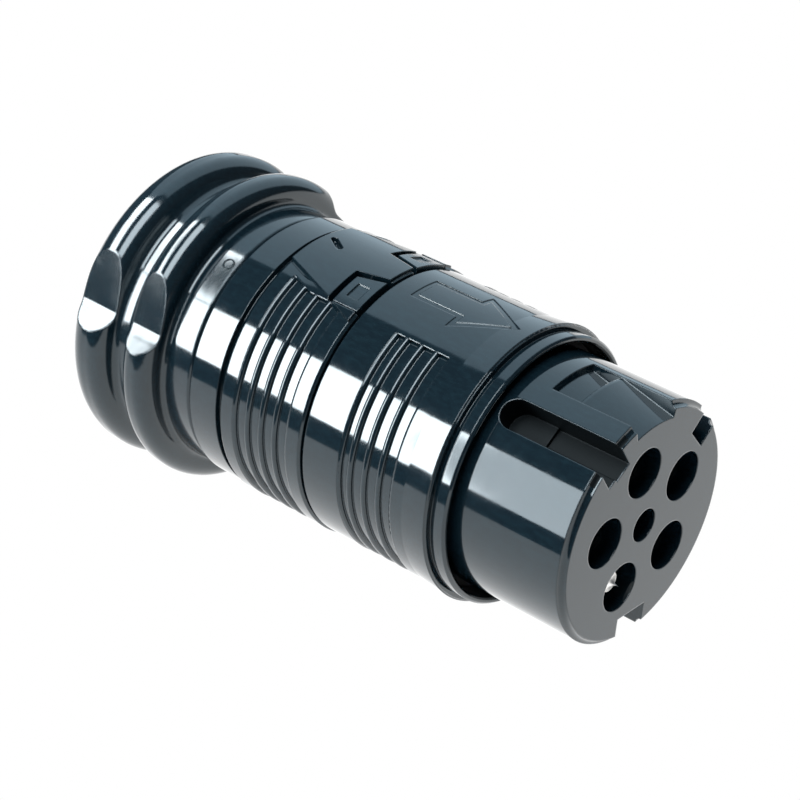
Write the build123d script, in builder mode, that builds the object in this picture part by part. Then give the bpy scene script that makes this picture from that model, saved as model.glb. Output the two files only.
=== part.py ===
from build123d import *
from math import cos, radians, sin
import os

# Industrial cable coupler, in millimetres. +X runs along the coupler's axis to the plugging end,
# +Z is up as the coupler lies, and the origin is the centre of the mating face.
# "Back" values are distances behind that face. Angles turn about +X from +Y, so 90 is the top.

# Nose
nose_r = 22.5
nose_edge_round = 1.1
nose_back = 30.7
core_step = 2.3
core_back = 44.0
boss_step = 1.8
boss_long = 2.5

# Contact layout
contact_ring_gap = 0.15
contact_start_angle = 94.5
contact_count = 5
socket_mouth_r = 4.6
socket_mouth_depth = 8.0
pilot_mouth_r = 3.1
pilot_mouth_depth = 6.0

# Contacts
contact_r = 4.25
contact_fit = 0.05
contact_pin_bore_r = 3.2
contact_pin_depth = 26.0
contact_collar_r = 5.0
contact_collar_long = 2.4
contact_tail_long = 13.5
wire_bore_r = 2.7
wire_bore_depth = 10.0
tine_slit = 0.6
tine_long = 14.0
earth_pin_r = 1.9
earth_pin_tip_back = 0.2
pilot_contact_r = 2.8
pilot_pin_bore_r = 1.9
pilot_pin_depth = 20.0
pilot_tail_long = 9.5

# Terminal screws
terminal_screw_r = 1.5
terminal_screw_long = 3.4
terminal_screw_inset = 5.0
screw_slot = 0.5
screw_fit = 0.05

# Guide slots and keyway in the nose
guide_slot_angle = 119.0
guide_slot_wide = 5.8
guide_slot_long = 22.3
guide_slot_deep = 5.3
guide_step_deep = 0.7
guide_step_long = 14.3
guide_ledge_wide = 1.9
second_slot_angle = 36.0
second_slot_wide = 5.4
keyway_angle = 263.0
keyway_wide = 7.6
keyway_deep = 5.0
keyway_long = 20.0

# Latch recess in the nose: a lead-in ramp, a catch ridge and a pocket behind it
recess_low_angle = 71.0
recess_high_angle = 100.5
recess_mouth_deep = 3.0
ridge_back = 11.0
ridge_drop = 0.35
ridge_land = 0.6
pocket_front_deep = 2.6
pocket_rear_deep = 1.3
pocket_long = 6.0

# Retainer behind the nose
retainer_thick = 2.6
retainer_gap = 0.3
retainer_screw_inset = 2.0
retainer_screw_r = 1.25
retainer_screw_head_r = 2.3
retainer_screw_head_high = 1.6
retainer_screw_deep = 8.0
flat_gap = 0.05

# Carrier tube of the rear housing, under the sleeve
core_fit = 0.1
tube_wall = 2.55
ledge_fit = 0.2

# Rear housing
top_angle = 86.0
housing_front_back = 55.0
housing_long = 27.3
housing_step = 0.3
housing_band_step = 0.35
housing_edge = 0.4
housing_groove_inset = 7.6
housing_groove_wide = 1.6
housing_groove_deep = 1.5
housing_wall = 4.2
cavity_front_inset = 7.6
cavity_rear_inset = 3.3
spigot_step = 4.75
spigot_wall = 4.3
spigot_long = 16.7

# Raised plate on top of the rear housing, with a fine groove round its foot
plate_high = 0.4
plate_rear_inset = 8.1
plate_front_half = 13.8
plate_rear_half = 7.8
plate_line = 0.5
plate_line_deep = 0.3
plate_slot_inset = 11.6
plate_slot_long = 4.6
plate_slot_wide = 1.3
plate_slot_deep = 1.0
plate_slot_turn = -32.0

# Finger grips: pockets between rounded ribs
rib_pitch = 3.23
rib_round = 0.65
rib_drop = 0.06
pocket_deep = 0.75
housing_pocket_count = 4
housing_pocket_inset = 16.1
housing_pocket_margin = 1.5
sleeve_pocket_count = 3
sleeve_pocket_inset = 11.05
sleeve_pocket_half = 12.4
short_pocket_long = 2.45
short_pocket_half = 15.8

# Release buttons, one on each side of the housing's tongue
button_offset_angle = 18.7
button_outer_half = 3.6
button_rear_half = 3.0
button_front_half = 4.5
button_side_gap = 0.33
button_tongue_gap = 1.15
button_long = 5.6
button_end_gap = 0.25
button_rear_gap = 1.1
button_proud = 0.25
button_pocket_deep = 3.0
button_travel = 1.2
button_floor_gap = 0.2
button_stem_r = 1.1
button_stem_fit = 0.1
button_stem_long = 2.0
button_mark_deep = 0.3
button_mark_long = 2.6
button_mark_half = 1.7
spring_wire_r = 0.22
spring_coil_r = 1.75
spring_turns = 2
spring_end_gap = 0.14

# Sliding sleeve
sleeve_front_back = 22.8
sleeve_gap = 0.35
sleeve_wall = 2.8
sleeve_cone_long = 8.9
flange_inset = 3.3
flange_step = 0.5
flange_round = 0.35
lip_step = 0.5
lip_long = 2.3
lip_groove_step = 0.95
mouth_gap = 1.5
mouth_overlap = 0.3
slide_fit = 0.05
sleeve_edge = 0.4

# Arrow outline on the sleeve
arrow_tail_inset = 4.7
arrow_neck_inset = 15.0
arrow_tip_inset = 26.1
arrow_tail_half = 3.6
arrow_head_half = 6.6
arrow_line = 1.0
arrow_deep = 0.16

# Rings
core_ring_back = 37.0
core_ring_r = 0.75
core_ring_groove_wide = 1.9
snap_ring_back = 36.5
snap_ring_wire_r = 0.55
snap_ring_gap_angle = 18.0
mouth_seal_thick = 2.4
mouth_seal_gap = 0.2
nut_ring_r = 0.7
nut_ring_seat_long = 2.2

# Gland
gland_seal_inset = 1.7
gland_seal_long = 13.0
gland_seal_edge = 0.5
gland_wall = 7.6
gland_side_gap = 0.1
cage_long = 4.75
cage_lip = 1.6
cage_slot_count = 8
cage_slot_wide = 1.4
washer_thick = 1.1
washer_lip = 1.0

# Clamp nut
nut_gap = 0.35
skirt_step = 0.5
skirt_long = 6.75
skirt_foot_round = 1.0
front_ring_wide = 7.6
front_ring_round = 3.2
ring_valley_wide = 3.4
ring_valley_deep = 3.7
ring_valley_round = 1.5
valley_lean = 1.6
rear_ring_front_round = 3.6
rear_ring_back_round = 4.4
ring_high = 4.95
nut_floor_thick = 6.8
nut_mouth_step = 2.0
nut_mouth_round = 2.0
nut_fit = 0.06
nut_edge = 0.5
scallop_count = 3
scallop_start_angle = 134.0
scallop_low_angle = 157.5
scallop_end_angle = 163.5
scallop_deep = 2.8
scallop_round = 3.6

# Radii that follow from those above
core_r = nose_r - core_step
boss_r = core_r - boss_step
guide_slot_floor_r = nose_r - guide_slot_deep
keyway_floor_r = nose_r - keyway_deep
contact_circle_r = nose_r / 2 + contact_ring_gap
retainer_screw_circle_r = boss_r - retainer_screw_inset
tube_bore_r = core_r + core_fit
tube_r = tube_bore_r + tube_wall
ledge_r = boss_r + ledge_fit
retainer_r = tube_bore_r - retainer_gap
mouth_r = nose_r + mouth_gap
sleeve_bore_r = tube_r + slide_fit
sleeve_r = sleeve_bore_r + sleeve_wall
flange_r = sleeve_r + flange_step
lip_r = sleeve_r - lip_step
lip_groove_r = sleeve_r - lip_groove_step
housing_r = sleeve_r + housing_step
housing_band_r = housing_r - housing_band_step
cavity_r = housing_r - housing_wall
button_floor_r = housing_r - button_pocket_deep
spigot_r = housing_band_r - spigot_step
spigot_bore_r = spigot_r - spigot_wall
cable_bore_r = spigot_bore_r - gland_wall
cage_bore_r = cable_bore_r + cage_lip
washer_bore_r = cage_bore_r + washer_lip
nut_bore_r = spigot_r + nut_fit
nut_skirt_r = housing_band_r - skirt_step
nut_crest_r = nut_skirt_r + ring_high
nut_valley_r = nut_crest_r - ring_valley_deep
nut_mouth_r = spigot_bore_r - nut_mouth_step
scallop_floor_r = nut_crest_r - scallop_deep

# Places along the axis that follow from those above
boss_back = core_back + boss_long
contact_rear_back = boss_back + contact_tail_long
pilot_rear_back = boss_back + pilot_tail_long
terminal_screw_back = contact_rear_back - terminal_screw_inset
mouth_back = nose_back - mouth_overlap
flange_back = sleeve_front_back + flange_inset
lip_back = sleeve_front_back + lip_long
sleeve_rear_back = housing_front_back - sleeve_gap
housing_rear_back = housing_front_back + housing_long
housing_groove_back = housing_rear_back - housing_groove_inset
cavity_front_back = housing_front_back + cavity_front_inset
cavity_rear_back = housing_rear_back - cavity_rear_inset
spigot_rear_back = housing_rear_back + spigot_long
gland_seal_front_back = housing_rear_back + gland_seal_inset
gland_seal_rear_back = gland_seal_front_back + gland_seal_long
cage_front_back = gland_seal_rear_back + flat_gap
cage_rear_back = cage_front_back + cage_long
washer_rear_back = cage_rear_back + flat_gap + washer_thick + button_floor_gap
nut_front_back = housing_rear_back + nut_gap
nut_skirt_back = nut_front_back + skirt_long
valley_front_back = nut_skirt_back + front_ring_wide
valley_rear_back = valley_front_back + ring_valley_wide
nut_shoulder_back = washer_rear_back + flat_gap
nut_back = nut_shoulder_back + nut_floor_thick

os.makedirs("parts", exist_ok=True)


def around(radius, angle, x=0.0):
    """Point at a radius and angle about the coupler's axis."""
    return Vector(x, radius * cos(radians(angle)), radius * sin(radians(angle)))


def radial_plane(radius, angle, back=0.0):
    """Plane square to the radius, with its local X forward and its normal outward."""
    return Plane(origin=around(radius, angle, -back), x_dir=(1, 0, 0), z_dir=around(1, angle))


def axial_plane(angle):
    """Plane through the axis, with local X forward and local Y outward at the angle."""
    return Plane(origin=(0, 0, 0), x_dir=(1, 0, 0), z_dir=around(1, angle + 90))


def pocket_cutter(crest_backs, top_r):
    """Ring that cuts pockets between rounded rib crests, listed from the rear to the front."""
    floor_r = top_r - pocket_deep
    crest_r = top_r - rib_drop
    arc_r = crest_r - rib_round
    with BuildPart() as cutter:
        with BuildSketch(axial_plane(top_angle)):
            with BuildLine():
                for rear_back, front_back in zip(crest_backs[:-1], crest_backs[1:]):
                    CenterArc((-rear_back, arc_r), rib_round, 0, 90)
                    Polyline(
                        (-rear_back + rib_round, arc_r),
                        (-rear_back + rib_round, floor_r),
                        (-front_back - rib_round, floor_r),
                        (-front_back - rib_round, arc_r),
                    )
                    CenterArc((-front_back, arc_r), rib_round, 90, 90)
                Polyline(
                    (-crest_backs[-1], crest_r),
                    (-crest_backs[-1], top_r + rib_round),
                    (-crest_backs[0], top_r + rib_round),
                    (-crest_backs[0], crest_r),
                )
            make_face()
        revolve(axis=Axis.X)
    return cutter.part


def contact_place(index):
    """Centre of a contact on the mating face, counted from the top one."""
    return around(contact_circle_r, contact_start_angle + index * 360 / contact_count)


def write(builder, label):
    builder.part.label = label
    export_step(builder.part, "parts/" + label + ".step")


# Nose: the moulded carrier that holds the contacts and enters the mating inlet
contact_hole_r = contact_r + contact_fit
collar_seat_r = contact_collar_r + contact_fit
retainer_screw_angles = [contact_start_angle + (k + 0.5) * 360 / contact_count for k in (0, 2, 4)]

with BuildPart() as nose:
    with BuildSketch(Plane.XY):
        with BuildLine():
            Polyline((0, 0), (0, nose_r - nose_edge_round))
            RadiusArc((0, nose_r - nose_edge_round), (-nose_edge_round, nose_r), nose_edge_round)
            Polyline(
                (-nose_edge_round, nose_r),
                (-nose_back, nose_r),
                (-nose_back, core_r),
                (-core_back, core_r),
                (-core_back, boss_r),
                (-boss_back, boss_r),
                (-boss_back, 0),
                (0, 0),
            )
        make_face()
    revolve(axis=Axis.X)
    for index in range(contact_count):
        spot = contact_place(index)
        with BuildSketch(Plane.YZ):
            with Locations((spot.Y, spot.Z)):
                Circle(socket_mouth_r)
        extrude(amount=-socket_mouth_depth, mode=Mode.SUBTRACT)
        with BuildSketch(Plane.YZ):
            with Locations((spot.Y, spot.Z)):
                Circle(contact_hole_r)
        extrude(amount=-boss_back, mode=Mode.SUBTRACT)
        with BuildSketch(Plane.YZ.offset(-boss_back)):
            with Locations((spot.Y, spot.Z)):
                Circle(collar_seat_r)
        extrude(amount=contact_collar_long + flat_gap, mode=Mode.SUBTRACT)
    with BuildSketch(Plane.YZ):
        Circle(pilot_mouth_r)
    extrude(amount=-pilot_mouth_depth, mode=Mode.SUBTRACT)
    with BuildSketch(Plane.YZ):
        Circle(pilot_contact_r + contact_fit)
    extrude(amount=-boss_back, mode=Mode.SUBTRACT)
    # Guide slots, open at the face and round at the back
    for angle, wide in ((guide_slot_angle, guide_slot_wide), (second_slot_angle, second_slot_wide)):
        with BuildSketch(radial_plane(guide_slot_floor_r, angle)):
            straight = guide_slot_long - wide / 2
            with Locations((nose_edge_round / 2 - straight / 2, 0)):
                Rectangle(straight + nose_edge_round, wide)
            with Locations((-straight, 0)):
                Circle(wide / 2)
        extrude(amount=nose_r, mode=Mode.SUBTRACT)
    # Lower part of the guide slot's floor, beside a narrow ledge
    with BuildSketch(radial_plane(guide_slot_floor_r - guide_step_deep, guide_slot_angle)):
        with Locations((nose_edge_round / 2 - guide_step_long / 2, guide_ledge_wide / 2)):
            Rectangle(guide_step_long + nose_edge_round, guide_slot_wide - guide_ledge_wide)
    extrude(amount=guide_step_deep + flat_gap, mode=Mode.SUBTRACT)
    # Keyway at the bottom of the rim
    with BuildSketch(radial_plane(keyway_floor_r, keyway_angle)):
        with Locations((nose_edge_round / 2 - keyway_long / 2, 0)):
            Rectangle(keyway_long + nose_edge_round, keyway_wide)
    extrude(amount=nose_r, mode=Mode.SUBTRACT)
    # Latch recess
    with BuildSketch(axial_plane(recess_low_angle)):
        with BuildLine():
            Polyline(
                (nose_edge_round, nose_r - recess_mouth_deep),
                (-ridge_back, nose_r - ridge_drop),
                (-ridge_back - ridge_land, nose_r - ridge_drop),
                (-ridge_back - ridge_land, nose_r - pocket_front_deep),
                (-ridge_back - pocket_long, nose_r - pocket_rear_deep),
                (-ridge_back - pocket_long - ridge_land, nose_r + nose_edge_round),
                (nose_edge_round, nose_r + nose_edge_round),
                close=True,
            )
        make_face()
    revolve(axis=Axis.X, revolution_arc=recess_high_angle - recess_low_angle, mode=Mode.SUBTRACT)
    # Seat of the sealing ring round the core
    with BuildSketch(Plane.XY):
        with Locations((-core_ring_back, tube_bore_r - core_ring_r)):
            Rectangle(core_ring_groove_wide, 2 * core_ring_r + 2 * flat_gap)
    revolve(axis=Axis.X, mode=Mode.SUBTRACT)
    # Threaded holes for the retainer's screws
    for angle in retainer_screw_angles:
        spot = around(retainer_screw_circle_r, angle)
        with BuildSketch(Plane.YZ.offset(-boss_back)):
            with Locations((spot.Y, spot.Z)):
                Circle(retainer_screw_r + screw_fit)
        extrude(amount=retainer_screw_deep, mode=Mode.SUBTRACT)
write(nose, "nose")

# Contacts: turned sockets with sprung tines, a collar and a screw terminal
collar_front_back = boss_back - contact_collar_long


def socket_contact(spot, angle, outer_r, bore_r, front_back, pin_depth, rear_back, slit_long):
    """Turned socket about a line parallel to the axis through a spot on the face."""
    line = Axis((0, spot.Y, spot.Z), (1, 0, 0))
    with BuildPart() as contact:
        with BuildSketch(Plane(origin=(0, spot.Y, spot.Z), x_dir=(1, 0, 0), z_dir=(0, 0, 1))):
            with BuildLine():
                Polyline(
                    (-front_back, bore_r),
                    (-front_back, outer_r),
                    (-rear_back, outer_r),
                    (-rear_back, 0),
                    (-front_back - pin_depth, 0),
                    (-front_back - pin_depth, bore_r),
                    close=True,
                )
            make_face()
        revolve(axis=line)
        slit_middle = -front_back - slit_long / 2
        slit = Plane(origin=(slit_middle, spot.Y, spot.Z), x_dir=(1, 0, 0), z_dir=around(1, angle))
        with BuildSketch(slit):
            Rectangle(slit_long, tine_slit)
        extrude(amount=2 * outer_r, both=True, mode=Mode.SUBTRACT)
    return contact


def terminal_end(contact, spot, angle):
    """Wire bore and cross hole of the screw terminal at the back of a contact."""
    with BuildPart() as piece:
        add(contact.part)
        with BuildSketch(Plane.YZ.offset(-collar_front_back)):
            with Locations((spot.Y, spot.Z)):
                Circle(contact_collar_r)
        extrude(amount=-contact_collar_long)
        with BuildSketch(Plane.YZ.offset(-contact_rear_back)):
            with Locations((spot.Y, spot.Z)):
                Circle(wire_bore_r)
        extrude(amount=wire_bore_depth, mode=Mode.SUBTRACT)
        with BuildSketch(radial_plane(contact_circle_r, angle, terminal_screw_back)):
            Circle(terminal_screw_r + screw_fit)
        extrude(amount=2 * contact_r, mode=Mode.SUBTRACT)
    return piece


contact_names = ["line_contact_1", "neutral_contact", "earth_contact", "line_contact_3", "line_contact_2"]

for index, name in enumerate(contact_names):
    spot = contact_place(index)
    angle = contact_start_angle + index * 360 / contact_count
    if name == "earth_contact":
        line = Axis((0, spot.Y, spot.Z), (1, 0, 0))
        with BuildPart() as turned:
            with BuildSketch(Plane(origin=(0, spot.Y, spot.Z), x_dir=(1, 0, 0), z_dir=(0, 0, 1))):
                with BuildLine():
                    RadiusArc(
                        (-earth_pin_tip_back, 0),
                        (-earth_pin_tip_back - earth_pin_r, earth_pin_r),
                        earth_pin_r,
                    )
                    Polyline(
                        (-earth_pin_tip_back - earth_pin_r, earth_pin_r),
                        (-socket_mouth_depth, earth_pin_r),
                        (-socket_mouth_depth, contact_r),
                        (-contact_rear_back, contact_r),
                        (-contact_rear_back, 0),
                        (-earth_pin_tip_back, 0),
                    )
                make_face()
            revolve(axis=line)
    else:
        turned = socket_contact(
            spot, angle, contact_r, contact_pin_bore_r, socket_mouth_depth,
            contact_pin_depth, contact_rear_back, tine_long,
        )
    write(terminal_end(turned, spot, angle), name)

pilot_contact = socket_contact(
    Vector(0, 0, 0), 0, pilot_contact_r, pilot_pin_bore_r, pilot_mouth_depth,
    pilot_pin_depth, pilot_rear_back, tine_long / 2,
)
write(pilot_contact, "pilot_contact")

# Terminal screws: one slotted grub screw in each contact
with BuildPart() as terminal_screws:
    for index in range(contact_count):
        angle = contact_start_angle + index * 360 / contact_count
        screw_foot_r = contact_circle_r + wire_bore_r
        with BuildSketch(radial_plane(screw_foot_r, angle, terminal_screw_back)):
            Circle(terminal_screw_r)
        extrude(amount=terminal_screw_long)
        slot_floor_r = screw_foot_r + terminal_screw_long - terminal_screw_r
        with BuildSketch(radial_plane(slot_floor_r, angle, terminal_screw_back)):
            Rectangle(2 * terminal_screw_r + screw_slot, screw_slot)
        extrude(amount=2 * terminal_screw_r, mode=Mode.SUBTRACT)
write(terminal_screws, "terminal_screws")

# Retainer: the disc that holds the contacts' collars in the nose
retainer_front_back = boss_back + flat_gap
with BuildPart() as contact_retainer:
    with BuildSketch(Plane.YZ.offset(-retainer_front_back)):
        Circle(retainer_r)
        for index in range(contact_count):
            spot = contact_place(index)
            with Locations((spot.Y, spot.Z)):
                Circle(contact_hole_r, mode=Mode.SUBTRACT)
        Circle(pilot_contact_r + contact_fit, mode=Mode.SUBTRACT)
        for angle in retainer_screw_angles:
            spot = around(retainer_screw_circle_r, angle)
            with Locations((spot.Y, spot.Z)):
                Circle(retainer_screw_r + screw_fit, mode=Mode.SUBTRACT)
    extrude(amount=-retainer_thick)
write(contact_retainer, "contact_retainer")

head_front_back = retainer_front_back + retainer_thick + flat_gap
with BuildPart() as retainer_screws:
    for angle in retainer_screw_angles:
        spot = around(retainer_screw_circle_r, angle)
        with BuildSketch(Plane.YZ.offset(-head_front_back)):
            with Locations((spot.Y, spot.Z)):
                Circle(retainer_screw_head_r)
        extrude(amount=-retainer_screw_head_high)
        with BuildSketch(Plane.YZ.offset(-head_front_back)):
            with Locations((spot.Y, spot.Z)):
                Circle(retainer_screw_r)
        extrude(amount=retainer_screw_deep)
        with BuildSketch(Plane.YZ.offset(-head_front_back - retainer_screw_head_high)):
            with Locations((spot.Y, spot.Z)):
                Rectangle(2 * retainer_screw_head_r + screw_slot, screw_slot)
        extrude(amount=retainer_screw_head_high / 2, mode=Mode.SUBTRACT)
write(retainer_screws, "retainer_screws")

# Sealing ring round the nose's core
with BuildPart() as core_ring:
    with BuildSketch(Plane.XY):
        with Locations((-core_ring_back, tube_bore_r - core_ring_r - flat_gap / 2)):
            Circle(core_ring_r)
    revolve(axis=Axis.X)
write(core_ring, "core_ring")

# Rear housing: a carrier tube, the ribbed shell with its top plate, and the threaded spigot
tube_front_back = nose_back + flat_gap
ledge_front_back = core_back + flat_gap
ledge_rear_back = boss_back
plate_slot_back = housing_rear_back - plate_slot_inset
button_middle_back = housing_front_back + button_end_gap + button_long / 2
button_top_r = housing_r + button_proud
button_foot_r = button_floor_r + button_travel + button_floor_gap
button_bore_deep = button_stem_long - button_floor_gap + 2 * flat_gap
plate_corners = [
    (-housing_front_back - housing_edge, -plate_front_half),
    (-housing_front_back - housing_edge, plate_front_half),
    (-housing_rear_back + plate_rear_inset, plate_rear_half),
    (-housing_rear_back + plate_rear_inset, -plate_rear_half),
]


def button_corners(side, grow, front_grow, rear_grow, tongue_grow):
    """Corners of a button from above: its edge beside the tongue slants outwards to the front."""
    front = button_long / 2 + front_grow
    rear = -button_long / 2 - rear_grow
    return [
        (front, -side * (button_outer_half + grow)),
        (front, side * (button_front_half + tongue_grow)),
        (rear, side * (button_rear_half + tongue_grow)),
        (rear, -side * (button_outer_half + grow)),
    ]


with BuildPart() as top_plate:
    with BuildSketch(radial_plane(cavity_r, top_angle)):
        with BuildLine():
            Polyline(plate_corners, close=True)
        make_face()
    extrude(amount=housing_r)
    with BuildSketch(Plane.YZ.offset(-housing_rear_back)):
        Circle(housing_r + plate_high)
    extrude(amount=housing_long, mode=Mode.INTERSECT)

# Fine groove round the foot of the plate, cut before the plate is put in
with BuildPart() as plate_seat:
    with BuildSketch(radial_plane(housing_r - housing_wall / 2, top_angle)):
        with BuildLine():
            Polyline(plate_corners, close=True)
        make_face()
        offset(amount=plate_line, kind=Kind.INTERSECTION)
    extrude(amount=housing_r)
    with BuildSketch(Plane.YZ.offset(-housing_rear_back)):
        Circle(housing_r - plate_line_deep)
    extrude(amount=2 * housing_long, mode=Mode.SUBTRACT)

# Pockets round the bottom, ending along the slant of the plate's edges
housing_crest_back = housing_front_back + housing_pocket_inset
housing_crests = [housing_crest_back - index * rib_pitch for index in range(housing_pocket_count + 1)]
with BuildPart() as housing_pockets:
    add(pocket_cutter(housing_crests, housing_r))
    with BuildSketch(radial_plane(button_floor_r, top_angle)):
        with BuildLine():
            Polyline(plate_corners, close=True)
        make_face()
        offset(amount=housing_pocket_margin, kind=Kind.INTERSECTION)
    extrude(amount=housing_r, mode=Mode.SUBTRACT)

with BuildPart() as rear_housing:
    with BuildSketch(Plane.XY):
        with BuildLine():
            Polyline(
                (-tube_front_back, tube_bore_r),
                (-tube_front_back, tube_r),
                (-housing_front_back, tube_r),
                (-housing_front_back, housing_r - housing_edge),
                (-housing_front_back - housing_edge, housing_r),
                (-housing_groove_back, housing_r),
                (-housing_groove_back, housing_band_r),
                (-housing_rear_back + housing_edge, housing_band_r),
                (-housing_rear_back, housing_band_r - housing_edge),
                (-housing_rear_back, spigot_r),
                (-spigot_rear_back, spigot_r),
                (-spigot_rear_back, spigot_bore_r),
                (-gland_seal_front_back + flat_gap, spigot_bore_r),
                (-gland_seal_front_back + flat_gap, cage_bore_r),
                (-cavity_rear_back, cage_bore_r),
                (-cavity_rear_back, cavity_r),
                (-cavity_front_back, cavity_r),
                (-cavity_front_back, tube_bore_r),
                (-ledge_rear_back, tube_bore_r),
                (-ledge_rear_back, ledge_r),
                (-ledge_front_back, ledge_r),
                (-ledge_front_back, tube_bore_r),
                close=True,
            )
        make_face()
    revolve(axis=Axis.X)
    # Groove behind the ribbed part
    with BuildSketch(Plane.XY):
        with Locations((-housing_groove_back, housing_r)):
            Rectangle(housing_groove_wide, 2 * housing_groove_deep)
    revolve(axis=Axis.X, mode=Mode.SUBTRACT)
    add(housing_pockets.part, mode=Mode.SUBTRACT)
    add(plate_seat.part, mode=Mode.SUBTRACT)
    add(top_plate.part)
    # Notches of the release buttons, with the bores of their stems
    for side in (1, -1):
        middle = top_angle + side * button_offset_angle
        notch_gaps = (button_side_gap, 2 * button_end_gap, button_rear_gap, button_tongue_gap)
        with BuildSketch(radial_plane(button_floor_r, middle, button_middle_back)):
            with BuildLine():
                Polyline(button_corners(side, *notch_gaps), close=True)
            make_face()
        extrude(amount=button_floor_r, mode=Mode.SUBTRACT)
        with BuildSketch(radial_plane(button_floor_r, middle, button_middle_back)):
            Circle(button_stem_r + button_stem_fit)
        extrude(amount=-button_bore_deep, mode=Mode.SUBTRACT)
    # Oblong slot in the plate
    with BuildSketch(radial_plane(housing_r + plate_high - plate_slot_deep, top_angle, plate_slot_back)):
        SlotOverall(plate_slot_long, plate_slot_wide, rotation=plate_slot_turn)
    extrude(amount=2 * plate_slot_deep, mode=Mode.SUBTRACT)
    # Groove of the snap ring in the carrier tube
    with BuildSketch(Plane.XY):
        with Locations((-snap_ring_back, tube_r - snap_ring_wire_r)):
            Rectangle(2 * snap_ring_wire_r + 2 * flat_gap, 2 * snap_ring_wire_r + 2 * flat_gap)
    revolve(axis=Axis.X, mode=Mode.SUBTRACT)
write(rear_housing, "rear_housing")

# Snap ring: an open wire ring in the carrier tube that the sleeve slides over
with BuildPart() as snap_ring:
    with BuildSketch(axial_plane(snap_ring_gap_angle)):
        with Locations((-snap_ring_back, tube_r - snap_ring_wire_r - flat_gap / 2)):
            Circle(snap_ring_wire_r)
    revolve(axis=Axis.X, revolution_arc=360 - 2 * snap_ring_gap_angle)
write(snap_ring, "snap_ring")

# Release buttons: curved keys that press inwards on small coil springs
for side, name in ((1, "left"), (-1, "right")):
    middle = top_angle + side * button_offset_angle
    with BuildPart() as button:
        with BuildSketch(radial_plane(button_foot_r, middle, button_middle_back)):
            with BuildLine():
                Polyline(button_corners(side, 0, 0, 0, 0), close=True)
            make_face()
        extrude(amount=button_foot_r)
        with BuildSketch(Plane.YZ.offset(-button_middle_back - button_long)):
            Circle(button_top_r)
        extrude(amount=2 * button_long, mode=Mode.INTERSECT)
        with BuildSketch(radial_plane(button_top_r - button_mark_deep, middle, button_middle_back)):
            Rectangle(button_mark_long, 2 * button_mark_half)
        extrude(amount=button_top_r, mode=Mode.SUBTRACT)
        with BuildSketch(radial_plane(button_foot_r + flat_gap, middle, button_middle_back)):
            Circle(button_stem_r)
        extrude(amount=-button_stem_long - flat_gap)
    write(button, "release_button_" + name)
    spring_room = button_foot_r - button_floor_r
    spring_rise = spring_room - 2 * spring_wire_r - 2 * spring_end_gap
    spring_foot_r = button_floor_r + spring_wire_r + spring_end_gap / 2
    with BuildPart() as spring:
        with BuildLine():
            coil = Helix(
                pitch=spring_rise / spring_turns,
                height=spring_rise,
                radius=spring_coil_r,
                center=around(spring_foot_r, middle, -button_middle_back),
                direction=around(1, middle),
            )
        with BuildSketch(Plane(origin=coil @ 0, z_dir=coil % 0)):
            Circle(spring_wire_r)
        sweep(is_frenet=True)
    write(spring, "button_spring_" + name)

# Sliding sleeve: arrow on top, pockets round the bottom, flared flange and lip at the front
sleeve_crest_back = housing_front_back - sleeve_pocket_inset
sleeve_crests = [sleeve_crest_back - index * rib_pitch for index in range(sleeve_pocket_count + 1)]
short_crest_back = sleeve_crest_back + short_pocket_long
with BuildPart() as sleeve_pockets:
    add(pocket_cutter([short_crest_back] + sleeve_crests, sleeve_r))
    with BuildSketch(radial_plane(tube_r, top_angle)):
        with BuildLine():
            Polyline(
                (-short_crest_back - rib_pitch, -short_pocket_half),
                (-sleeve_crest_back, -short_pocket_half),
                (-sleeve_crest_back, -sleeve_pocket_half),
                (-sleeve_crests[-1] + rib_pitch, -sleeve_pocket_half),
                (-sleeve_crests[-1] + rib_pitch, sleeve_pocket_half),
                (-sleeve_crest_back, sleeve_pocket_half),
                (-sleeve_crest_back, short_pocket_half),
                (-short_crest_back - rib_pitch, short_pocket_half),
                close=True,
            )
        make_face()
    extrude(amount=sleeve_r, mode=Mode.SUBTRACT)

arrow_tail_back = housing_front_back - arrow_tail_inset
arrow_neck_back = housing_front_back - arrow_neck_inset
arrow_tip_back = housing_front_back - arrow_tip_inset
with BuildPart() as arrow_outline:
    with BuildSketch(radial_plane(mouth_r, top_angle)):
        with BuildLine():
            Polyline(
                (-arrow_tail_back, -arrow_tail_half),
                (-arrow_neck_back, -arrow_tail_half),
                (-arrow_neck_back, -arrow_head_half),
                (-arrow_tip_back, 0),
                (-arrow_neck_back, arrow_head_half),
                (-arrow_neck_back, arrow_tail_half),
                (-arrow_tail_back, arrow_tail_half),
                close=True,
            )
        make_face()
        offset(amount=-arrow_line, kind=Kind.INTERSECTION, mode=Mode.SUBTRACT)
    extrude(amount=mouth_r)
    with BuildSketch(Plane.YZ.offset(-housing_front_back)):
        Circle(sleeve_r - arrow_deep)
    extrude(amount=housing_front_back, mode=Mode.SUBTRACT)

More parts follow.
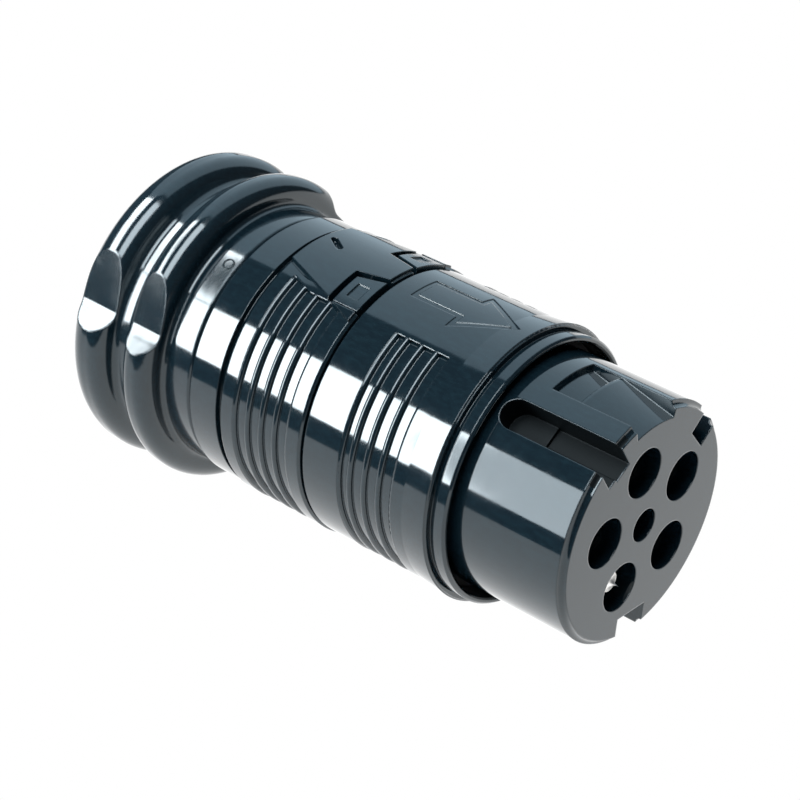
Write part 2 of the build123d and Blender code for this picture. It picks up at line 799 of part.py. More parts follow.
with BuildPart() as front_sleeve:
    with BuildSketch(Plane.XY):
        with BuildLine():
            Polyline(
                (-sleeve_front_back, mouth_r + sleeve_edge),
                (-sleeve_front_back, lip_r - sleeve_edge),
                (-sleeve_front_back - sleeve_edge, lip_r),
                (-lip_back, lip_r),
                (-lip_back, lip_groove_r),
                (-flange_back, lip_groove_r),
                (-flange_back, flange_r - flange_round),
            )
            RadiusArc(
                (-flange_back, flange_r - flange_round),
                (-flange_back - flange_round, flange_r),
                flange_round,
            )
            Polyline(
                (-flange_back - flange_round, flange_r),
                (-sleeve_front_back - sleeve_cone_long, sleeve_r),
                (-sleeve_rear_back + sleeve_edge, sleeve_r),
                (-sleeve_rear_back, sleeve_r - sleeve_edge),
                (-sleeve_rear_back, sleeve_bore_r),
                (-mouth_back, sleeve_bore_r),
                (-mouth_back, mouth_r),
                (-sleeve_front_back - sleeve_edge, mouth_r),
                (-sleeve_front_back, mouth_r + sleeve_edge),
            )
        make_face()
    revolve(axis=Axis.X)
    add(sleeve_pockets.part, mode=Mode.SUBTRACT)
    add(arrow_outline.part, mode=Mode.SUBTRACT)
write(front_sleeve, "front_sleeve")

# Wiper seal in the sleeve's mouth, riding round the nose
with BuildPart() as mouth_seal:
    with BuildSketch(Plane.XY):
        with BuildLine():
            Polyline(
                (-mouth_back + flat_gap, nose_r + mouth_seal_gap),
                (-mouth_back + flat_gap, mouth_r - flat_gap),
                (-mouth_back + mouth_seal_thick, mouth_r - flat_gap),
                (-mouth_back + mouth_seal_thick / 2, nose_r + mouth_seal_gap),
                close=True,
            )
        make_face()
    revolve(axis=Axis.X)
write(mouth_seal, "mouth_seal")

# Gland seal: a rubber bush that the clamp cage squeezes onto the cable
with BuildPart() as gland_seal:
    with BuildSketch(Plane.YZ.offset(-gland_seal_rear_back)):
        Circle(spigot_bore_r - gland_side_gap)
        Circle(cable_bore_r, mode=Mode.SUBTRACT)
    extrude(amount=gland_seal_rear_back - gland_seal_front_back)
    chamfer(edges().filter_by(GeomType.CIRCLE).sort_by(SortBy.RADIUS)[:2], length=gland_seal_edge)
write(gland_seal, "gland_seal")

# Clamp cage: a collet ring with slots between its fingers
cage_slot_front_back = cage_front_back + (cage_rear_back - cage_front_back) / 3
with BuildPart() as clamp_cage:
    with BuildSketch(Plane.YZ.offset(-cage_rear_back)):
        Circle(spigot_bore_r - gland_side_gap)
        Circle(cage_bore_r, mode=Mode.SUBTRACT)
    extrude(amount=cage_rear_back - cage_front_back)
    with BuildSketch(Plane.YZ.offset(-cage_rear_back)):
        with PolarLocations(spigot_bore_r, cage_slot_count):
            Rectangle(2 * (spigot_bore_r - cage_bore_r) + cage_lip, cage_slot_wide)
    extrude(amount=cage_rear_back - cage_slot_front_back, mode=Mode.SUBTRACT)
write(clamp_cage, "clamp_cage")

# Thrust washer between the cage and the nut's shoulder
with BuildPart() as thrust_washer:
    with BuildSketch(Plane.YZ.offset(-washer_rear_back)):
        Circle(nut_bore_r - gland_side_gap)
        Circle(washer_bore_r, mode=Mode.SUBTRACT)
    extrude(amount=washer_thick)
write(thrust_washer, "thrust_washer")

# Clamp nut: a skirt and two rounded rings, with finger scallops across both
nut_ring_seat_r = spigot_r + 2 * nut_ring_r + 3 * flat_gap
with BuildPart() as clamp_nut:
    with BuildSketch(Plane.XY):
        with BuildLine():
            Polyline(
                (-nut_front_back - nut_edge, nut_skirt_r),
                (-nut_front_back, nut_skirt_r - nut_edge),
                (-nut_front_back, nut_ring_seat_r),
                (-nut_front_back - nut_ring_seat_long, nut_ring_seat_r),
                (-nut_front_back - nut_ring_seat_long, nut_bore_r),
                (-nut_shoulder_back, nut_bore_r),
                (-nut_shoulder_back, nut_mouth_r),
                (-nut_back, nut_mouth_r),
                (-nut_back, nut_crest_r),
                (-valley_rear_back - valley_lean, nut_crest_r),
                (-valley_rear_back, nut_valley_r),
                (-valley_front_back, nut_valley_r),
                (-valley_front_back + valley_lean, nut_crest_r),
                (-nut_skirt_back, nut_crest_r),
                (-nut_skirt_back, nut_skirt_r),
                close=True,
            )
        make_face()
        for corner_back, corner_r, round_r in (
            (nut_skirt_back, nut_skirt_r, skirt_foot_round),
            (nut_skirt_back, nut_crest_r, front_ring_round),
            (valley_front_back - valley_lean, nut_crest_r, front_ring_round),
            (valley_front_back, nut_valley_r, ring_valley_round),
            (valley_rear_back, nut_valley_r, ring_valley_round),
            (valley_rear_back + valley_lean, nut_crest_r, rear_ring_front_round),
            (nut_back, nut_crest_r, rear_ring_back_round),
            (nut_back, nut_mouth_r, nut_mouth_round),
        ):
            fillet(vertices().sort_by_distance((-corner_back, corner_r, 0))[0], radius=round_r)
    revolve(axis=Axis.X)
    # Each scallop dips along a flat and comes back up a short rounded slope
    with BuildSketch(Plane.YZ.offset(-nut_skirt_back)):
        for index in range(scallop_count):
            turn = index * 360 / scallop_count
            corners = [
                around(nut_crest_r, scallop_start_angle + turn),
                around(scallop_floor_r, scallop_low_angle + turn),
                around(nut_crest_r, scallop_end_angle + turn),
                around(nut_crest_r + ring_high, (scallop_start_angle + scallop_end_angle) / 2 + turn),
            ]
            with BuildLine():
                Polyline([(corner.Y, corner.Z) for corner in corners], close=True)
            make_face()
        for index in range(scallop_count):
            spot = around(scallop_floor_r, scallop_low_angle + index * 360 / scallop_count)
            fillet(vertices().sort_by_distance((spot.Y, spot.Z, 0))[0], radius=scallop_round)
    extrude(amount=-(nut_back - nut_skirt_back), mode=Mode.SUBTRACT)
write(clamp_nut, "clamp_nut")

# Sealing ring between the housing and the nut's skirt
with BuildPart() as nut_ring:
    with BuildSketch(Plane.XY):
        with Locations((-housing_rear_back - nut_ring_r - flat_gap, spigot_r + nut_ring_r + flat_gap)):
            Circle(nut_ring_r)
    revolve(axis=Axis.X)
write(nut_ring, "nut_ring")
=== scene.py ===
# %% [markdown]
# # Dressing an industrial cable coupler
#
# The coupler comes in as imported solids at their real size, in metres. The axis runs along X, the face that
# plugs in is at X = 0 and looks along +X, and Z is up as the coupler lies on its side. This lesson gives
# every surface its finish, sets up a small product-photo studio, and frames the coupler from its front left.

# %% Load the frame
import math

import bpy
from mathutils import Matrix, Vector


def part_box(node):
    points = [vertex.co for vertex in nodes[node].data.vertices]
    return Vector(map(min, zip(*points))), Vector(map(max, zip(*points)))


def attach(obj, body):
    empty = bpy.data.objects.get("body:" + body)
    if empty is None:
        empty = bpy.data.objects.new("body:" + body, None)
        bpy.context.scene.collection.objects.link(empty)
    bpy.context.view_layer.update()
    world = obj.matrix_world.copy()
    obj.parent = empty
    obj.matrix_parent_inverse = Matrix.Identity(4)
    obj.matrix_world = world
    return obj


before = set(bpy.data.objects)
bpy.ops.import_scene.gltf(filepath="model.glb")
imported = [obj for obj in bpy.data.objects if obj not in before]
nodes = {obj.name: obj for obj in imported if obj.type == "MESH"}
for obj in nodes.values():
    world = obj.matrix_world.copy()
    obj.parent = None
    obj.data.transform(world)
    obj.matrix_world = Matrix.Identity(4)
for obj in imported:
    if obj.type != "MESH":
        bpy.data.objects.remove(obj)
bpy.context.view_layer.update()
MM = 0.001

# %% [markdown]
# ## The camera
#
# A product photographer stood to the front left and looked down at the coupler by about 35 degrees, with a
# short telephoto lens. The place and the turn of the camera could be found by trial, but measuring is surer:
# the round face, the contact holes and the straight sides of the sleeve fix both. The camera looks at the
# middle of the coupler's side and is upright, so level things stay level in the picture.

# %% Camera
face_radius = 22.0 * MM
sensor_mm = 36.0
camera_place = Vector((7.9826, -12.0204, 11.1475)) * face_radius
camera_right = Vector((0.75474, 0.65602, 0.0))
camera_up = Vector((-0.37536, 0.43185, 0.82013))
camera_back = camera_right.cross(camera_up)
lens_mm = 106.9

camera_data = bpy.data.cameras.new("camera")
camera_data.lens = lens_mm
camera_data.sensor_width = sensor_mm
camera_data.clip_start = 0.01
camera_data.clip_end = 20.0
camera = bpy.data.objects.new("camera", camera_data)
turn = Matrix((camera_right, camera_up, camera_back)).transposed()
camera.matrix_world = Matrix.Translation(camera_place) @ turn.to_4x4()
bpy.context.scene.collection.objects.link(camera)
bpy.context.scene.camera = camera
bpy.context.scene.view_settings.view_transform = "Standard"
print("camera stands", round(camera_place.length, 3), "m from the mating face")

# %% [markdown]
# ## Colours and nodes
#
# Colours are picked as hex values, the way a paint or plastics chart gives them. Blender's shaders count in
# linear light, so one function turns hex into linear values. A second one adds a shader node with its
# settings and its links in one call, which keeps every recipe short enough to read.


# %% Helpers for materials
def linear(hex_colour):
    """Linear RGBA of an sRGB hex colour."""
    parts = [int(hex_colour[i:i + 2], 16) / 255 for i in (1, 3, 5)]
    return [c / 12.92 if c <= 0.04045 else ((c + 0.055) / 1.055) ** 2.4 for c in parts] + [1.0]


def node(tree, kind, settings=None, links=None, **values):
    """A node of a kind, with its properties, its sockets' values by name, and links into it."""
    made = tree.nodes.new(kind)
    for key, value in values.items():
        setattr(made, key, value)
    for key, value in (settings or {}).items():
        made.inputs[key].default_value = value
    for key, source in (links or {}).items():
        tree.links.new(source, made.inputs[key])
    return made


def new_material(name):
    """A material with an empty principled shader wired to its output."""
    material = bpy.data.materials.new(name)
    material.use_nodes = True
    tree = material.node_tree
    return material, tree, tree.nodes["Principled BSDF"]


def dress(material, *names):
    """Gives one material to the named CAD nodes and shades them smooth."""
    for name in names:
        piece = nodes[name]
        piece.data.materials.clear()
        piece.data.materials.append(material)
        for polygon in piece.data.polygons:
            polygon.use_smooth = True
    print(material.name, "on", ", ".join(names))


# %% [markdown]
# ## Edges that catch the light
#
# No moulded or turned edge is perfectly sharp: a mould is polished, a lathe tool has a nose radius, and
# barrels of parts knock against each other. Each edge then shows as a thin bright line. The edges could be
# cut with a bevel modifier, but that makes slivers on solids with long thin facets. The bevel shader node
# bends only the shading normal near an edge, by a radius given in real millimetres, and moves nothing.


# %% Worn and moulded edges
def soft_normal(tree, place, edge_mm, peel_mm, peel_deep_mm, strength):
    """Shading normal with rounded edges and a shallow waviness, both in millimetres."""
    edge = node(tree, "ShaderNodeBevel", {"Radius": edge_mm * MM}, samples=6)
    peel = node(tree, "ShaderNodeTexNoise", {"Scale": 1 / (peel_mm * MM), "Detail": 1.0, "Roughness": 0.4},
                {"Vector": place.outputs["Object"]})
    bump = node(tree, "ShaderNodeBump", {"Strength": strength, "Distance": peel_deep_mm * MM},
                {"Height": peel.outputs["Fac"], "Normal": edge.outputs["Normal"]})
    return bump.outputs["Normal"]


# %% [markdown]
# ## Glossy moulded nylon
#
# The shells are glass-filled nylon, moulded in a polished tool. The tint is a petrol blue that is nearly
# black, so the eye reads the form from reflections: sharp where the tool was polished, with a very slight
# orange peel where the plastic shrank. The colour could be plain black, but then the edges lose their
# blue-green cast. Glass fibres near the skin leave fine paler streaks along the flow, which a stretched noise
# gives. Handling leaves faint rubbed patches a few millimetres across, where the gloss is a little lower.
# Plastic mirrors without a colour of its own: the faint cool tint of the reflections stands in for daylight
# in the studio.


# %% Glossy nylon
def moulded_nylon(name, colour, pale, gloss, edge_mm=0.3, peel_mm=2.6, peel_deep_mm=0.05, rubbed=0.05):
    """Dark dyed nylon with fibre streaks, rubbed patches, soft edges and a slight orange peel."""
    material, tree, shader = new_material(name)
    fibre_mm, patch_mm = 0.7, 6.0
    place = node(tree, "ShaderNodeTexCoord")
    flow = node(tree, "ShaderNodeMapping", {"Scale": (0.35, 1.0, 1.0)}, {"Vector": place.outputs["Object"]})
    fibres = node(tree, "ShaderNodeTexNoise", {"Scale": 1 / (fibre_mm * MM), "Detail": 4.0, "Roughness": 0.6},
                  {"Vector": flow.outputs["Vector"]})
    tint = node(tree, "ShaderNodeValToRGB", {}, {"Fac": fibres.outputs["Fac"]})
    tint.color_ramp.elements[0].position = 0.42
    tint.color_ramp.elements[0].color = linear(colour)
    tint.color_ramp.elements[1].position = 0.78
    tint.color_ramp.elements[1].color = linear(pale)
    patches = node(tree, "ShaderNodeTexNoise",
                   {"Scale": 1 / (patch_mm * MM), "Detail": 3.0, "Roughness": 0.55},
                   {"Vector": place.outputs["Object"]})
    wear = node(tree, "ShaderNodeMapRange",
                {"From Min": 0.45, "From Max": 0.75, "To Min": gloss, "To Max": gloss + rubbed},
                {"Value": patches.outputs["Fac"]})
    tree.links.new(tint.outputs["Color"], shader.inputs["Base Color"])
    tree.links.new(wear.outputs["Result"], shader.inputs["Roughness"])
    shader.inputs["IOR"].default_value = 1.56
    shader.inputs["Specular Tint"].default_value = linear("#f0fbff")
    normal = soft_normal(tree, place, edge_mm, peel_mm, peel_deep_mm, 0.12)
    tree.links.new(normal, shader.inputs["Normal"])
    return material


petrol = "#081319"
petrol_streak = "#0d1b21"
shell_nylon = moulded_nylon("petrol_nylon_polished", petrol, petrol_streak, 0.07)
dress(shell_nylon, "front_sleeve", "rear_housing")
nut_nylon = moulded_nylon("petrol_nylon_nut", petrol, petrol_streak, 0.09,
                          edge_mm=0.6, peel_mm=4.0, peel_deep_mm=0.12, rubbed=0.06)
dress(nut_nylon, "clamp_nut")

# %% [markdown]
# The nose is moulded in a harder grade that takes the heat of the contacts, in a tool polished as well as the
# shells' own, so it is at least as glossy. Its edges are much crisper than the nut's, because they guide the
# coupler into its inlet. The two release buttons come from the shell's grade with a satin top, since a thumb
# polishes and scratches them in turn.
#
# The deep guide slot of the nose is cored by a slide, and its walls are given a matt finish with lower gloss.
# Their colour is also darkened to near black, which is painted shade: the shade that falls deep in the narrow
# slot. They need no mesh of their own: three plain measures mark them, the radius under the skin, the angle
# about the axis and the place behind the flat face.


# %% Nose and buttons
def matt_slot_with_painted_shade(material, skin_mm, middle_deg, half_deg, behind_mm, rough, slot_painted_shade):
    """Makes the walls of one slot matt, paints shade on them in a dark colour, and leaves the skin outside as
    it is.
    """
    tree = material.node_tree
    shader = tree.nodes["Principled BSDF"]
    place = node(tree, "ShaderNodeTexCoord")
    parts = node(tree, "ShaderNodeSeparateXYZ", {}, {"Vector": place.outputs["Object"]})
    across = node(tree, "ShaderNodeCombineXYZ", {}, {"Y": parts.outputs["Y"], "Z": parts.outputs["Z"]})
    radius = node(tree, "ShaderNodeVectorMath", {}, {0: across.outputs["Vector"]}, operation="LENGTH")
    angle = node(tree, "ShaderNodeMath", {}, {0: parts.outputs["Z"], 1: parts.outputs["Y"]},
                 operation="ARCTAN2")
    under_skin = node(tree, "ShaderNodeMath", {1: skin_mm * MM}, {0: radius.outputs["Value"]},
                      operation="LESS_THAN")
    in_slot = node(tree, "ShaderNodeMath", {1: math.radians(middle_deg), 2: math.radians(half_deg)},
                   {0: angle.outputs["Value"]}, operation="COMPARE")
    behind = node(tree, "ShaderNodeMath", {1: -behind_mm * MM}, {0: parts.outputs["X"]},
                  operation="LESS_THAN")
    both = node(tree, "ShaderNodeMath", {}, {0: under_skin.outputs["Value"], 1: in_slot.outputs["Value"]},
                operation="MULTIPLY")
    wall = node(tree, "ShaderNodeMath", {}, {0: both.outputs["Value"], 1: behind.outputs["Value"]},
                operation="MULTIPLY")
    # The dark colour mixed in here is painted shade on the slot's walls; the roughness is their matt finish
    for socket_name, data_type, wall_value in (("Roughness", "FLOAT", rough), ("Base Color", "RGBA", slot_painted_shade)):
        skin = shader.inputs[socket_name].links[0].from_socket
        blend = node(tree, "ShaderNodeMix", data_type=data_type)
        factor, skin_end, wall_end = [socket for socket in blend.inputs if socket.enabled]
        tree.links.new(wall.outputs["Value"], factor)
        tree.links.new(skin, skin_end)
        wall_end.default_value = wall_value
        result = [socket for socket in blend.outputs if socket.enabled][0]
        tree.links.new(result, shader.inputs[socket_name])
    gleam = node(tree, "ShaderNodeMapRange", {"To Min": 0.5, "To Max": 0.12},
                 {"Value": wall.outputs["Value"]})
    tree.links.new(gleam.outputs["Result"], shader.inputs["Specular IOR Level"])


nose_nylon = moulded_nylon("petrol_nylon_nose", petrol, petrol_streak, 0.06, edge_mm=0.35, peel_mm=3.0)
# The near-black colour is painted shade inside the guide slot
matt_slot_with_painted_shade(nose_nylon, skin_mm=22.2, middle_deg=119.0, half_deg=13.5, behind_mm=0.3, rough=0.5,
           slot_painted_shade=linear("#04080a"))
dress(nose_nylon, "nose")
button_nylon = moulded_nylon("petrol_nylon_button", "#09151b", "#0f1e25", 0.16, peel_mm=1.2, rubbed=0.12)
dress(button_nylon, "release_button_left", "release_button_right")


# %% [markdown]
# ## Matt nylon inside
#
# The retainer disc and the clamp cage are never seen in use, so their tools were left as eroded: a fine even
# sparkle of pits about a tenth of a millimetre across. The cage is left in the natural ivory of the polymer,
# which lets a little light in, so part of its shading comes from under the skin.


# %% Eroded nylon
def eroded_nylon(name, colour, shade, under_skin):
    """Matt nylon with eroded pits, in one colour with a faint cloudy shade of it."""
    material, tree, shader = new_material(name)
    pit_mm, cloud_mm = 0.12, 3.0
    place = node(tree, "ShaderNodeTexCoord")
    pits = node(tree, "ShaderNodeTexVoronoi", {"Scale": 1 / (pit_mm * MM)},
                {"Vector": place.outputs["Object"]})
    clouds = node(tree, "ShaderNodeTexNoise", {"Scale": 1 / (cloud_mm * MM), "Detail": 2.0},
                  {"Vector": place.outputs["Object"]})
    tint = node(tree, "ShaderNodeValToRGB", {}, {"Fac": clouds.outputs["Fac"]})
    tint.color_ramp.elements[0].position = 0.35
    tint.color_ramp.elements[0].color = linear(shade)
    tint.color_ramp.elements[1].position = 0.65
    tint.color_ramp.elements[1].color = linear(colour)
    bump = node(tree, "ShaderNodeBump", {"Strength": 0.3, "Distance": 0.02 * MM},
                {"Height": pits.outputs["Distance"]})
    tree.links.new(tint.outputs["Color"], shader.inputs["Base Color"])
    tree.links.new(bump.outputs["Normal"], shader.inputs["Normal"])
    shader.inputs["Roughness"].default_value = 0.62
    shader.inputs["Subsurface Weight"].default_value = under_skin
    shader.inputs["Subsurface Radius"].default_value = (1.2 * MM, 1.0 * MM, 0.8 * MM)
    return material


dress(eroded_nylon("retainer_nylon_eroded", "#2a2d30", "#232629", 0.0), "contact_retainer")
dress(eroded_nylon("natural_nylon_cage", "#d9d3bf", "#cbc4ad", 0.25), "clamp_cage")


# %% [markdown]
# ## Rubber
#
# The gland bush and the rings are nitrile rubber, pressed in a blasted mould. The surface is matt, nearly
# black, and carries a greyish bloom: wax that comes out of the rubber and gathers in soft patches. A low
# sheen at grazing angles gives the dusty look that separates rubber from plastic.


# %% Nitrile rubber
def nitrile(name, colour, bloom):
    """Matt rubber with patches of bloom and a fine blasted grain."""
    material, tree, shader = new_material(name)
    bloom_mm, grain_mm = 4.5, 0.15
    place = node(tree, "ShaderNodeTexCoord")
    patches = node(tree, "ShaderNodeTexNoise",
                   {"Scale": 1 / (bloom_mm * MM), "Detail": 4.0, "Roughness": 0.65},
                   {"Vector": place.outputs["Object"]})
    tint = node(tree, "ShaderNodeValToRGB", {}, {"Fac": patches.outputs["Fac"]})
    tint.color_ramp.elements[0].position = 0.4
    tint.color_ramp.elements[0].color = linear(colour)
    tint.color_ramp.elements[1].position = 0.8
    tint.color_ramp.elements[1].color = linear(bloom)
    grain = node(tree, "ShaderNodeTexNoise", {"Scale": 1 / (grain_mm * MM), "Detail": 2.0},
                 {"Vector": place.outputs["Object"]})
    bump = node(tree, "ShaderNodeBump", {"Strength": 0.35, "Distance": 0.03 * MM},
                {"Height": grain.outputs["Fac"]})
    tree.links.new(tint.outputs["Color"], shader.inputs["Base Color"])
    tree.links.new(bump.outputs["Normal"], shader.inputs["Normal"])
    shader.inputs["Roughness"].default_value = 0.78
    shader.inputs["Sheen Weight"].default_value = 0.12
    shader.inputs["Sheen Roughness"].default_value = 0.5
    return material


seal_rubber = nitrile("nitrile_rubber_bloomed", "#111112", "#262727")
dress(seal_rubber, "gland_seal", "mouth_seal", "core_ring", "nut_ring")


# %% [markdown]
# ## Turned and plated metal
#
# The contacts are turned on an automatic lathe, so every surface carries fine rings square to the axis, a
# tenth or two of a millimetre apart. Bands of a wave texture along X give them, blurred a little by noise so
# they don't look printed. Plating covers the rings but doesn't fill them. Silver tarnishes to a warm grey in
# patches; nickel stays bright and has a softer lustre. One recipe does both, with the tarnish as a second
# colour over a soft noise.


# %% Turned metal
def turned_metal(name, colour, tarnish, rough, ring_mm=0.12, ring_deep_mm=0.004, spread=(0.45, 0.7)):
    """Plated or bare metal with fine tool rings along X and patches of tarnish."""
    material, tree, shader = new_material(name)
    stain_mm, edge_mm = 2.2, 0.15
    place = node(tree, "ShaderNodeTexCoord")
    # At a scale of one the bands run through 20 radians a metre, and a full turn of their sine is one ring
    one_ring_a_metre = 2 * math.pi / 20
    rings = node(tree, "ShaderNodeTexWave",
                 {"Scale": one_ring_a_metre / (ring_mm * MM), "Distortion": 1.5, "Detail": 2.0,
                  "Detail Scale": 0.4},
                 {"Vector": place.outputs["Object"]}, bands_direction="X")
    stains = node(tree, "ShaderNodeTexNoise",
                  {"Scale": 1 / (stain_mm * MM), "Detail": 5.0, "Roughness": 0.6},
                  {"Vector": place.outputs["Object"]})
    tint = node(tree, "ShaderNodeValToRGB", {}, {"Fac": stains.outputs["Fac"]})
    tint.color_ramp.elements[0].position = spread[0]
    tint.color_ramp.elements[0].color = linear(colour)
    tint.color_ramp.elements[1].position = spread[1]
    tint.color_ramp.elements[1].color = linear(tarnish)
    dull = node(tree, "ShaderNodeMapRange",
                {"From Min": spread[0], "From Max": spread[1], "To Min": rough, "To Max": rough + 0.15},
                {"Value": stains.outputs["Fac"]})
    edge = node(tree, "ShaderNodeBevel", {"Radius": edge_mm * MM}, samples=4)
    bump = node(tree, "ShaderNodeBump", {"Strength": 0.4, "Distance": ring_deep_mm * MM},
                {"Height": rings.outputs["Fac"], "Normal": edge.outputs["Normal"]})
    tree.links.new(tint.outputs["Color"], shader.inputs["Base Color"])
    tree.links.new(dull.outputs["Result"], shader.inputs["Roughness"])
    tree.links.new(bump.outputs["Normal"], shader.inputs["Normal"])
    shader.inputs["Metallic"].default_value = 1.0
    return material


silvered_brass = turned_metal("silvered_brass_tarnished", "#d6d2c6", "#9d9280", 0.28)
dress(silvered_brass, "line_contact_1", "line_contact_2", "line_contact_3", "neutral_contact",
      "pilot_contact")
nickel = turned_metal("bright_nickel_plate", "#fbfaf7", "#efede8", 0.5, ring_mm=0.2, spread=(0.5, 0.85))
dress(nickel, "earth_contact")

# %% [markdown]
# The thrust washer is stamped from brass strip and tumbled, the screws are zinc plated and passivated to a
# bluish silver, and the springs and the snap ring are drawn wire. The same recipe serves: tumbling and
# drawing leave softer marks, so the rings are wider apart.

# %% Washer, screws and wire
brass = turned_metal("tumbled_brass", "#c9a45a", "#8f7038", 0.36, ring_mm=0.5, ring_deep_mm=0.002)
dress(brass, "thrust_washer")
zinc = turned_metal("zinc_plated_steel", "#b9c0c8", "#8f969d", 0.34, ring_mm=0.3)
dress(zinc, "terminal_screws", "retainer_screws")
wire = turned_metal("drawn_spring_wire", "#8d9196", "#6b6560", 0.3, ring_mm=0.4)
dress(wire, "snap_ring", "button_spring_left", "button_spring_right")


# %% [markdown]
# ## A moulded ring mark on the nut
#
# A small raised ring stands on the nut's skirt, where the real nut has a round mark. It is too fine to be
# worth a solid of its own, so it is a thin torus, sunk by half its wire into the skin and of the nut's nylon.
# It turns with the nut, so it rides on that body.

# %% Ring mark
nut_low, nut_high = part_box("clamp_nut")
skirt_radius = 25.15 * MM
mark_back = 2.2 * MM
mark_angle = math.radians(117)
mark_radius = 1.0 * MM
mark_wire_radius = 0.16 * MM
outward = Vector((0, math.cos(mark_angle), math.sin(mark_angle)))
mark_at = Vector((nut_high.x - mark_back, 0, 0)) + outward * skirt_radius
bpy.ops.mesh.primitive_torus_add(major_radius=mark_radius, minor_radius=mark_wire_radius,
                                 major_segments=40, minor_segments=12)
ring_mark = bpy.context.object
ring_mark.name = "nut_ring_mark"
ring_mark.rotation_mode = "QUATERNION"
ring_mark.rotation_quaternion = outward.to_track_quat("Z", "Y")
ring_mark.location = mark_at
ring_mark.data.materials.append(nut_nylon)
for polygon in ring_mark.data.polygons:
    polygon.use_smooth = True
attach(ring_mark, "nut")
print("ring mark at", [round(v / MM, 1) for v in mark_at])

# %% [markdown]
# ## The studio
#
# The coupler lies on white paper. It touches it with the clamp nut and with the sleeve's flange, so the floor
# leans by the small angle between them. To the camera the paper is burnt out to plain white, and so it is in
# reflections, where it is brighter still: that gives the grey sheen along the underside. The sheet ends a
# hand's width in front of the coupler, and the dark room beyond it draws the dark line along the side.

# %% Floor
sleeve_low, sleeve_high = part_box("front_sleeve")
flange_back = 3.6 * MM
ring_crest_in = 5.8 * MM
flange_at = Vector((sleeve_high.x - flange_back, 0, sleeve_low.z))
nut_at = Vector((nut_low.x + ring_crest_in, 0, nut_low.z))
lean = math.atan2(flange_at.z - nut_at.z, flange_at.x - nut_at.x)
paper_in_mirror = 1.55
floor_long = 1.6
floor_front = 0.16
floor_back = 0.5
floor_middle = nut_at + Vector((0, (floor_back - floor_front) / 2, 0))
bpy.ops.mesh.primitive_plane_add(size=1.0, location=floor_middle, rotation=(0, -lean, 0))
floor = bpy.context.object
floor.name = "studio_floor"
floor.scale = (floor_long, floor_back + floor_front, 1)
floor_material, tree, shader = new_material("white_sweep_paper")
tree.nodes.remove(shader)
path = node(tree, "ShaderNodeLightPath")
seen = node(tree, "ShaderNodeMath", {},
            {0: path.outputs["Is Camera Ray"], 1: path.outputs["Is Glossy Ray"]}, operation="MAXIMUM")
bright = node(tree, "ShaderNodeMapRange",
              {"From Min": 0.0, "From Max": 1.0, "To Min": 1.0, "To Max": paper_in_mirror},
              {"Value": path.outputs["Is Glossy Ray"]})
paper = node(tree, "ShaderNodeBsdfDiffuse", {"Color": linear("#e8e8e8")})
glow = node(tree, "ShaderNodeEmission", {"Color": linear("#ffffff")},
            {"Strength": bright.outputs["Result"]})
mix = node(tree, "ShaderNodeMixShader", {},
           {0: seen.outputs[0], 1: paper.outputs[0], 2: glow.outputs[0]})
tree.links.new(mix.outputs[0], tree.nodes["Material Output"].inputs["Surface"])
floor.data.materials.append(floor_material)
print("floor leans", round(math.degrees(lean), 2), "degrees")

# %% [markdown]
# The room is dark and grey, so that the glossy nylon stays nearly black between the lamps. Only the camera
# sees the white backdrop: a light path node tells its rays from the ones that light the coupler.

# %% World
room_light = 0.15
world = bpy.data.worlds.new("studio_world")
bpy.context.scene.world = world
world.use_nodes = True
tree = world.node_tree
for old in list(tree.nodes):
    tree.nodes.remove(old)
path = node(tree, "ShaderNodeLightPath")
white = node(tree, "ShaderNodeBackground", {"Color": linear("#ffffff"), "Strength": 1.0})
room = node(tree, "ShaderNodeBackground", {"Color": linear("#c8d0d8"), "Strength": room_light})
mix = node(tree, "ShaderNodeMixShader", {},
           {0: path.outputs["Is Camera Ray"], 1: room.outputs[0], 2: white.outputs[0]})
node(tree, "ShaderNodeOutputWorld", {}, {"Surface": mix.outputs[0]})
print("room at", room_light, "of full strength, white to the camera alone")

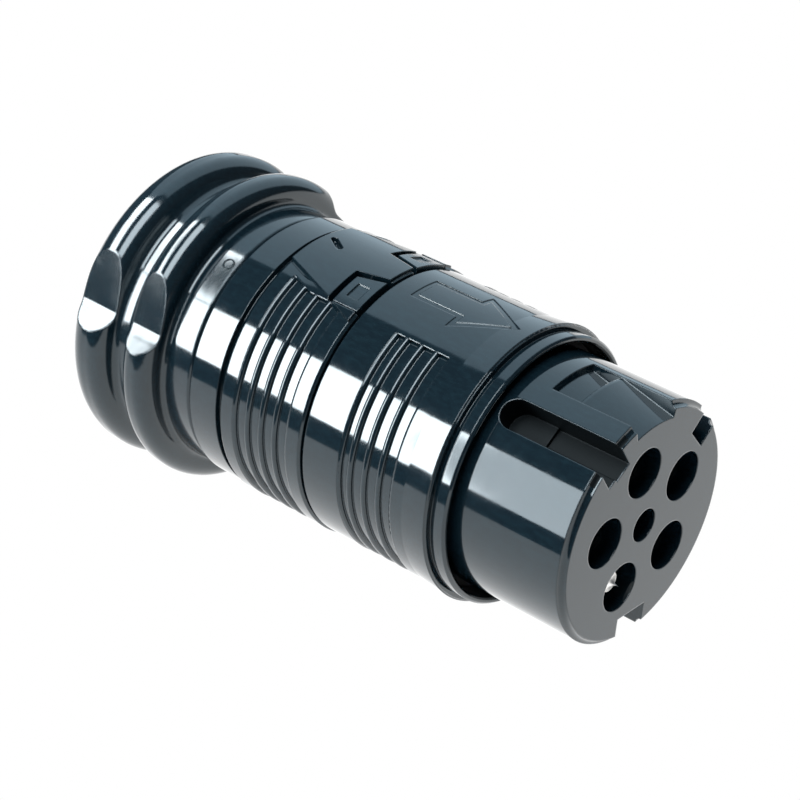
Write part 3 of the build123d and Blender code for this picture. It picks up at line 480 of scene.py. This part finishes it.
# %% [markdown]
# ## Lamps
#
# Five soft boxes make the picture. A strong one low at the left gives the hard white stripe along the side;
# in line with it a weaker one lights the nose, whose stripe is grey. A wide weak one behind the coupler
# lights its top evenly, with a cool tint. Between the side box and the back one the room stays dark: that
# dark band shows that the barrel is round. A box overhead hangs too far forward for the barrel to mirror it,
# so it shows only where the surface leans forward: on rib flanks, rims and the nut's rings. A narrow box far
# behind draws the long streaks on the nut's rings. A photographer would keep it off the barrel with a flag,
# and here a light link to the nut alone does that.
#
# The lamps could be aimed by eye, but a mirror rule gives their places: a stripe lies where the surface's
# normal halves the angle between camera and lamp. Every box therefore has two edges parallel to the coupler's
# axis, and is given by the two angles between which it is seen from the coupler's end, counted from the far
# side over the top. Its strength is a radiance, so a box that grows stays as bright in its reflection.


# %% Lamps
def softbox(name, distance, low, high, rear, front, radiance, tint):
    """A flat lamp, at a distance from the axis, from one angle about it to another and from rear to front."""
    middle = math.radians((low + high) / 2)
    outward = Vector((0, math.cos(middle), math.sin(middle)))
    data = bpy.data.lights.new(name, "AREA")
    data.shape = "RECTANGLE"
    data.size = front - rear
    data.size_y = 2 * distance * math.tan(math.radians((high - low) / 2))
    data.energy = radiance * math.pi * data.size * data.size_y
    data.color = linear(tint)[:3]
    lamp = bpy.data.objects.new(name, data)
    lamp.location = outward * distance + Vector(((front + rear) / 2, 0, 0))
    lamp.rotation_mode = "QUATERNION"
    lamp.rotation_quaternion = outward.to_track_quat("Z", "Y")
    bpy.context.scene.collection.objects.link(lamp)
    print(name, round(data.energy, 1), "W,", round(data.size, 2), "by", round(data.size_y, 2), "m")
    return lamp


# Distance in metres, from one angle to the other, rear and front end in metres, radiance and tint
softbox("side_softbox", 0.75, 135.0, 177.0, -0.80, -0.475, 26.0, "#fafdff")
softbox("nose_softbox", 0.75, 135.0, 177.0, -0.475, -0.25, 8.0, "#f4faff")
softbox("back_softbox", 1.1, -4.0, 83.0, -1.4, 0.3, 1.4, "#d8f0ff")
softbox("top_softbox", 0.9, 90.0, 133.0, -0.32, 0.2, 12.0, "#f4faff")
nut_lamp = softbox("nut_softbox", 0.9, 84.0, 134.0, -1.02, -0.80, 26.0, "#fafdff")
flagged = bpy.data.collections.new("lit_by_nut_softbox")
flagged.objects.link(nodes["clamp_nut"])
nut_lamp.light_linking.receiver_collection = flagged
